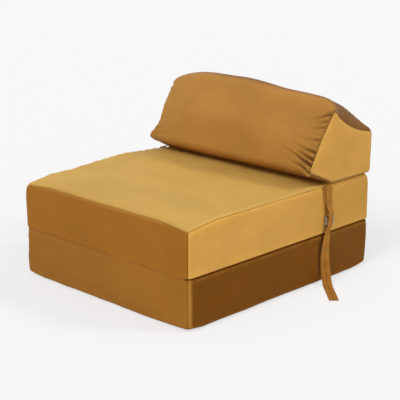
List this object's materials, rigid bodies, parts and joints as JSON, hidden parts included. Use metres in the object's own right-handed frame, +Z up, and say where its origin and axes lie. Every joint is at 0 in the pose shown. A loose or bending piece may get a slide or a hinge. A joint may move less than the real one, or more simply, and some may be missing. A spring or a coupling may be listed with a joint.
{
  "type": "convertible chair bed",
  "caption": "Fold-out foam chair bed in velvet: stacked seat and base blocks with a bolster pillow that unfold into a flat single bed, with zipped covers and side straps.",
  "frame": {"origin": "on the floor, under the middle of the stacked blocks", "axes": "+X to the right as seen from the front, -Y is the front, +Z is up"},
  "size_m": [0.979, 0.8068, 0.5639],
  "materials": {
    "seat_velvet": "matte",
    "base_velvet": "matte",
    "pillow_velvet": "matte",
    "strap_velvet": "matte",
    "hinge_fabric": "matte",
    "foam": "matte",
    "fibre": "matte",
    "zip_tape": "matte",
    "zip_coil": "satin",
    "zip_metal": "satin",
    "ring_metal": "polished"
  },
  "bodies": {
    "base": {"base_foam_core": "foam", "base_front_border": "base_velvet", "base_left_border": "base_velvet", "base_rear_border_lower": "base_velvet", "base_rear_border_upper": "base_velvet", "base_right_border": "base_velvet", "base_top_panel": "base_velvet", "base_underside_panel": "base_velvet", "base_zip_coil": "zip_coil", "base_zip_stops": "zip_metal", "base_zip_tapes": "zip_tape", "front_hinge_strip": "hinge_fabric"},
    "seat": {"rear_hinge_strip": "hinge_fabric", "seat_foam_core": "foam", "seat_front_border": "seat_velvet", "seat_left_border": "seat_velvet", "seat_rear_border_lower": "seat_velvet", "seat_rear_border_upper": "seat_velvet", "seat_right_border": "seat_velvet", "seat_top_panel": "seat_velvet", "seat_underside_panel": "seat_velvet", "seat_zip_coil": "zip_coil", "seat_zip_stops": "zip_metal", "seat_zip_tapes": "zip_tape"},
    "pillow": {"pillow_base_panel": "pillow_velvet", "pillow_fill": "fibre", "pillow_left_end": "pillow_velvet", "pillow_rear_strip": "pillow_velvet", "pillow_right_end": "pillow_velvet", "pillow_wrap_panel": "pillow_velvet", "pillow_zip_coil": "zip_coil", "pillow_zip_stops": "zip_metal", "pillow_zip_tapes": "zip_tape"},
    "base_slider": {"base_zip_slider": "zip_metal"},
    "base_pull": {"base_zip_pull": "zip_metal"},
    "seat_slider": {"seat_zip_slider": "zip_metal"},
    "seat_pull": {"seat_zip_pull": "zip_metal"},
    "pillow_slider": {"pillow_zip_slider": "zip_metal"},
    "pillow_pull": {"pillow_zip_pull": "zip_metal"},
    "right_strap": {"right_inner_ring": "ring_metal", "right_long_strap": "strap_velvet", "right_outer_ring": "ring_metal", "right_ring_loop": "strap_velvet"},
    "left_strap": {"left_inner_ring": "ring_metal", "left_long_strap": "strap_velvet", "left_outer_ring": "ring_metal", "left_ring_loop": "strap_velvet"}
  },
  "joints": [
    {"name": "seat_unfold", "type": "hinge", "parent": "base", "child": "seat", "pos_m": [0, -0.401, 0.15025], "axis": [1, 0, 0], "range_deg": [0, 180]},
    {"name": "pillow_fold", "type": "hinge", "parent": "seat", "child": "pillow", "pos_m": [0, 0.401, 0.30075], "axis": [-1, 0, 0], "range_deg": [0, 180]},
    {"name": "base_zip_run", "type": "slide", "parent": "base", "child": "base_slider", "axis": [1, 0, 0], "range_m": [-0.6024, 0]},
    {"name": "base_pull_swing", "type": "hinge", "parent": "base_slider", "child": "base_pull", "pos_m": [0.3012, 0.403, 0.075], "axis": [0, 0, -1], "range_deg": [0, 180]},
    {"name": "seat_zip_run", "type": "slide", "parent": "seat", "child": "seat_slider", "axis": [1, 0, 0], "range_m": [-0.6024, 0]},
    {"name": "seat_pull_swing", "type": "hinge", "parent": "seat_slider", "child": "seat_pull", "pos_m": [0.3012, 0.403, 0.2255], "axis": [0, 0, -1], "range_deg": [0, 180]},
    {"name": "pillow_zip_run", "type": "slide", "parent": "pillow", "child": "pillow_slider", "axis": [1, 0, 0], "range_m": [-0.5824, 0]},
    {"name": "pillow_pull_swing", "type": "hinge", "parent": "pillow_slider", "child": "pillow_pull", "pos_m": [0.2912, 0.4, 0.327], "axis": [0, 0, -1], "range_deg": [0, 180]},
    {"name": "right_strap_swing", "type": "hinge", "parent": "seat", "child": "right_strap", "pos_m": [0.3503, 0.192, 0.2965], "axis": [0, -1, 0], "range_deg": [0, 90]},
    {"name": "left_strap_swing", "type": "hinge", "parent": "seat", "child": "left_strap", "pos_m": [-0.3503, 0.192, 0.2965], "axis": [0, 1, 0], "range_deg": [0, 90]}
  ]
}
